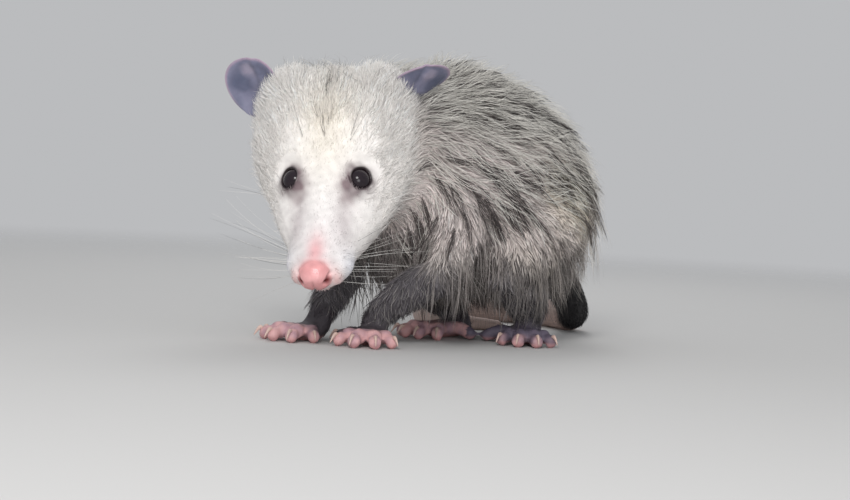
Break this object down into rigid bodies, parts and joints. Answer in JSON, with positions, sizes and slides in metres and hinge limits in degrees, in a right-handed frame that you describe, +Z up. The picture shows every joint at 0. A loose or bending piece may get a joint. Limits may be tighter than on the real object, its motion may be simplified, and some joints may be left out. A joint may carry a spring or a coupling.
{
  "type": "opossum figure",
  "caption": "Life-size Virginia opossum at rest on all fours, its white pointed face lowered and turned to the left, with naked ears and a long naked tail curled on the floor.",
  "frame": {"origin": "on the floor, under the middle of the box round the solids", "axes": "+Z up from the floor, -Y the way the trunk faces, +X to the animal's left"},
  "size_m": [0.1742, 0.3088, 0.167],
  "materials": {
    "white_fur": "soft white to cream fur of the head",
    "grey_fur": "coarse grey, cream and black fur of the body",
    "dark_fur": "short black-brown fur of the legs",
    "pink_skin": "naked pink skin, slightly moist",
    "ear_skin": "thin naked lavender-grey skin",
    "tail_skin": "naked skin in fine scales",
    "eye": "wet black-brown",
    "claw": "pale horn"
  },
  "bodies": {
    "root": {"claw_fore_left_2": "claw", "claw_fore_left_3": "claw", "claw_fore_left_4": "claw", "claw_fore_left_5": "claw", "claw_fore_left_thumb": "claw", "claw_fore_right_2": "claw", "claw_fore_right_3": "claw", "claw_fore_right_4": "claw", "claw_fore_right_5": "claw", "claw_fore_right_thumb": "claw", "claw_hind_left_2": "claw", "claw_hind_left_3": "claw", "claw_hind_left_4": "claw", "claw_hind_left_5": "claw", "claw_hind_right_2": "claw", "claw_hind_right_3": "claw", "claw_hind_right_4": "claw", "claw_hind_right_5": "claw", "ear_left": "ear_skin", "ear_right": "ear_skin", "eye_left": "eye", "eye_right": "eye", "forearm_left": "dark_fur", "forearm_right": "dark_fur", "forepaw_left": "pink_skin", "forepaw_right": "pink_skin", "head": "white_fur", "hindpaw_left": "pink_skin", "hindpaw_right": "pink_skin", "lower_jaw": "white_fur", "neck": "grey_fur", "nose": "pink_skin", "shank_left": "dark_fur", "shank_right": "dark_fur", "tail_1": "tail_skin", "tail_2": "tail_skin", "tail_3": "tail_skin", "tail_root": "tail_skin", "thigh_left": "grey_fur", "thigh_right": "grey_fur", "trunk": "grey_fur", "upper_arm_left": "dark_fur", "upper_arm_right": "dark_fur"}
  },
  "joints": []
}
